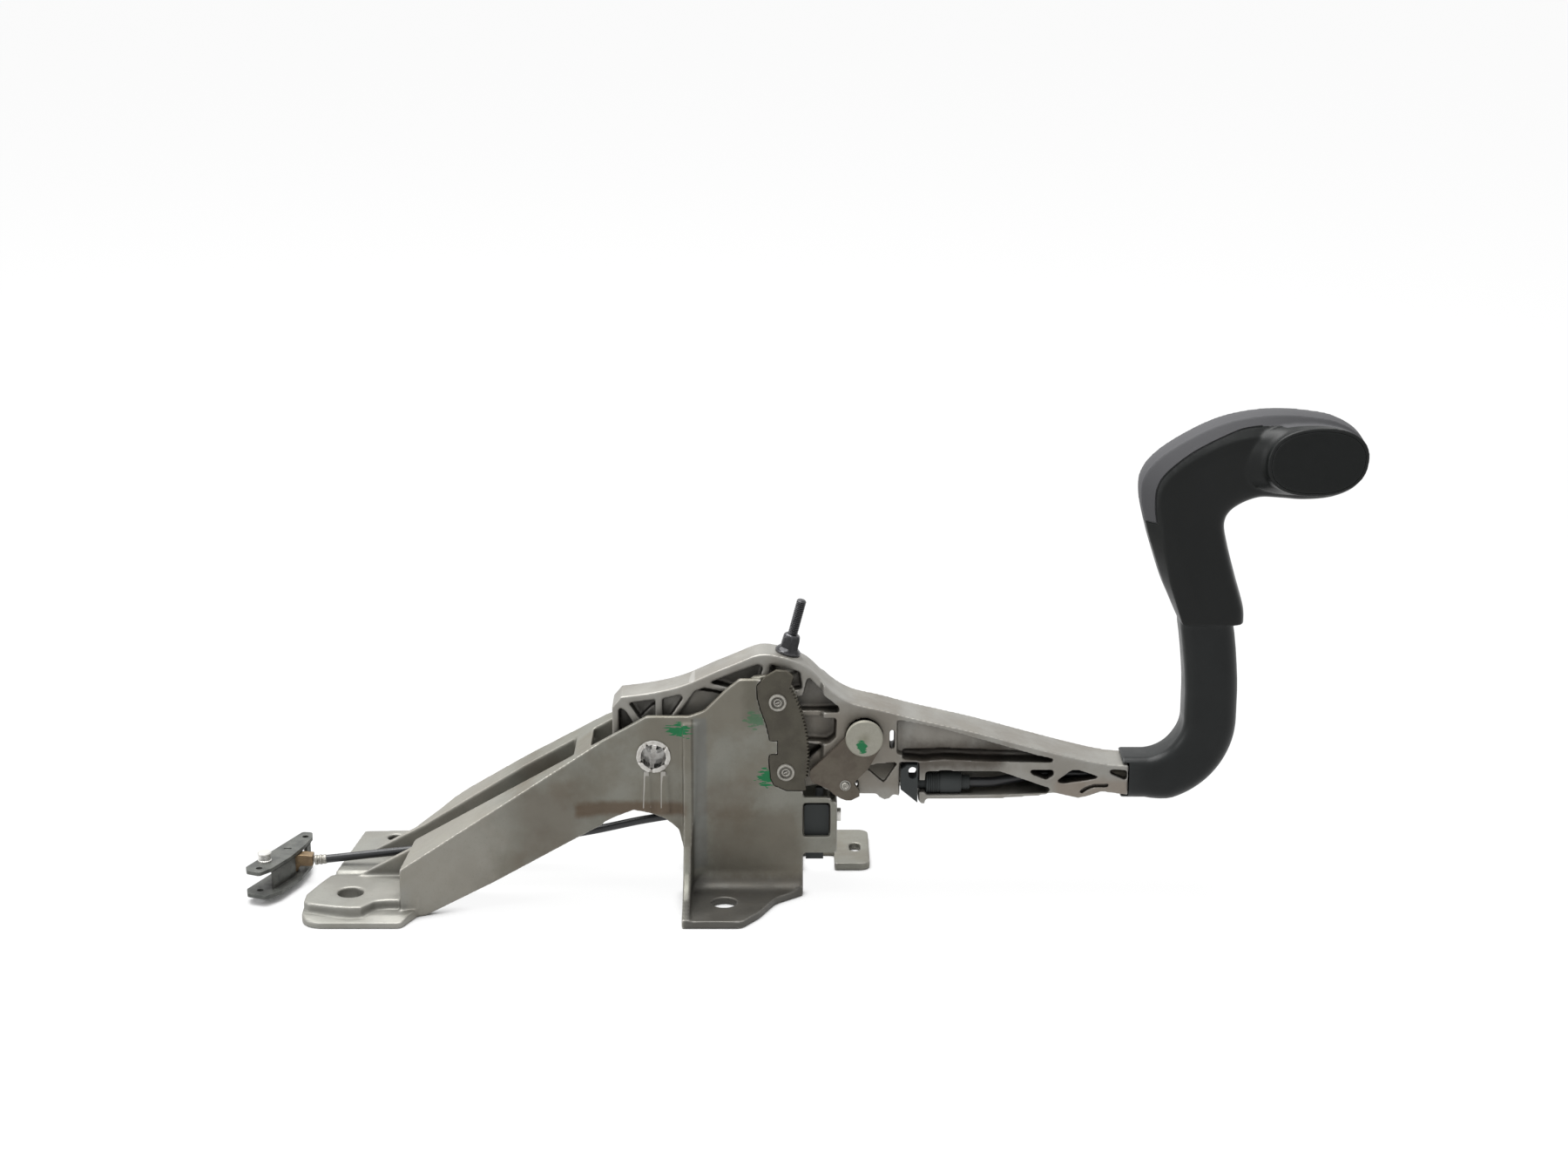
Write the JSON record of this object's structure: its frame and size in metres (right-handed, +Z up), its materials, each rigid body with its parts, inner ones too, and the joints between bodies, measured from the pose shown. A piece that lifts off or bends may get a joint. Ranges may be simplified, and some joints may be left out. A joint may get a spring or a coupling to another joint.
{
  "type": "parking brake lever",
  "caption": "Cast parking brake lever on a footed bracket, with toothed sector and pawl, goose-neck handle with release button, cable adjuster and rear equaliser.",
  "frame": {"origin": "under the middle of the assembly's box, on the plane of the feet", "axes": "+X towards the front of the car, the handle's end; +Z up; -Y the side of the ratchet"},
  "size_m": [0.562, 0.125, 0.25],
  "materials": {
    "cast_aluminium": "as cast, lightly tumbled",
    "steel_plate": "plain rolled steel",
    "bright_steel": "bright zinc",
    "black_steel": "black oxide",
    "handle_plastic": "fine moulded grain",
    "cover_plastic": "leather-like moulded grain",
    "black_plastic": "moulded",
    "cable_black": "smooth sheath",
    "equaliser_paint": "dark phosphate",
    "brass_block": "dull",
    "rubber_pad": "matt"
  },
  "bodies": {
    "bracket": {"base_bracket": "cast_aluminium", "pivot_tube": "bright_steel", "ratchet_sector": "steel_plate", "sector_rivets": "bright_steel", "switch_body": "black_plastic", "switch_terminals": "bright_steel", "switch_screw": "bright_steel", "lever_stop_bumper": "rubber_pad"},
    "plunger": {"switch_plunger": "black_plastic"},
    "lever": {"lever_arm": "cast_aluminium", "pivot_bushes": "black_plastic", "adjuster_rod": "black_steel", "cable_wrap": "cable_black", "pawl_pin": "bright_steel", "pawl_spring": "black_steel", "cable_stop_block": "black_plastic", "release_cable_ferrule": "black_plastic", "release_cable_jacket": "cable_black", "stalk_core": "steel_plate", "handle_sleeve": "handle_plastic", "grip_shell_near": "handle_plastic", "grip_shell_far": "handle_plastic", "grip_top_cover": "cover_plastic", "grip_screws": "black_steel", "button_spring": "bright_steel", "crank_pin": "bright_steel"},
    "nut": {"adjuster_nut": "black_steel"},
    "pawl": {"pawl": "steel_plate", "pawl_release_pin": "bright_steel"},
    "button": {"release_button": "handle_plastic"},
    "crank": {"release_crank": "black_plastic"},
    "wire": {"release_wire": "bright_steel"},
    "cable": {"brake_cable": "cable_black", "cable_crimp": "bright_steel", "cable_end_block": "brass_block"},
    "equaliser": {"equaliser_plate": "equaliser_paint", "equaliser_pin": "equaliser_paint", "equaliser_stud": "bright_steel"}
  },
  "joints": [
    {"name": "lever_pivot", "type": "hinge", "parent": "bracket", "child": "lever", "pos_m": [-0.0738, 0, 0.0745], "axis": [0, -1, 0], "range_deg": [0, 32]},
    {"name": "cable_bend", "type": "hinge", "parent": "lever", "child": "cable", "pos_m": [-0.04733, 0, 0.03918], "axis": [0, -1, 0], "range_deg": [-29.4, 0.4]},
    {"name": "equaliser_swivel", "type": "hinge", "parent": "cable", "child": "equaliser", "pos_m": [-0.2638, 0, 0.011], "axis": [0, 0, 1], "range_deg": [-15, 24]},
    {"name": "button_press", "type": "slide", "parent": "lever", "child": "button", "axis": [0, 1, 0], "range_m": [0, 0.004], "stiffness_N_per_m": 900, "springref_m": -0.002, "deforming": ["button_spring"]},
    {"name": "crank_turn", "type": "hinge", "parent": "lever", "child": "crank", "pos_m": [0.2162, 0.0055, 0.222], "axis": [1, 0, 0], "range_deg": [-18.6, 0.1]},
    {"name": "wire_pull", "type": "slide", "parent": "lever", "child": "wire", "axis": [1, 0, 0], "range_m": [0, 0.0032]},
    {"name": "pawl_turn", "type": "hinge", "parent": "lever", "child": "pawl", "pos_m": [0.0327, -0.0147, 0.0845], "axis": [0, -1, 0], "range_deg": [0, 7.2]},
    {"name": "nut_turn", "type": "hinge", "parent": "lever", "child": "nut", "pos_m": [-0.00602, 0, 0.12427], "axis": [0.2514, 0, 0.9679], "continuous": true},
    {"name": "plunger_travel", "type": "slide", "parent": "bracket", "child": "plunger", "axis": [0, 0, 1], "range_m": [-0.0015, 0], "stiffness_N_per_m": 300, "springref_m": 0.002}
  ],
  "couplings": [
    {"joint": "cable_bend", "follows": "lever_pivot", "ratio": -0.906},
    {"joint": "crank_turn", "follows": "button_press", "rad_per_m": -80.7},
    {"joint": "wire_pull", "follows": "button_press", "ratio": 0.8},
    {"joint": "pawl_turn", "follows": "button_press", "rad_per_m": 31.1}
  ]
}
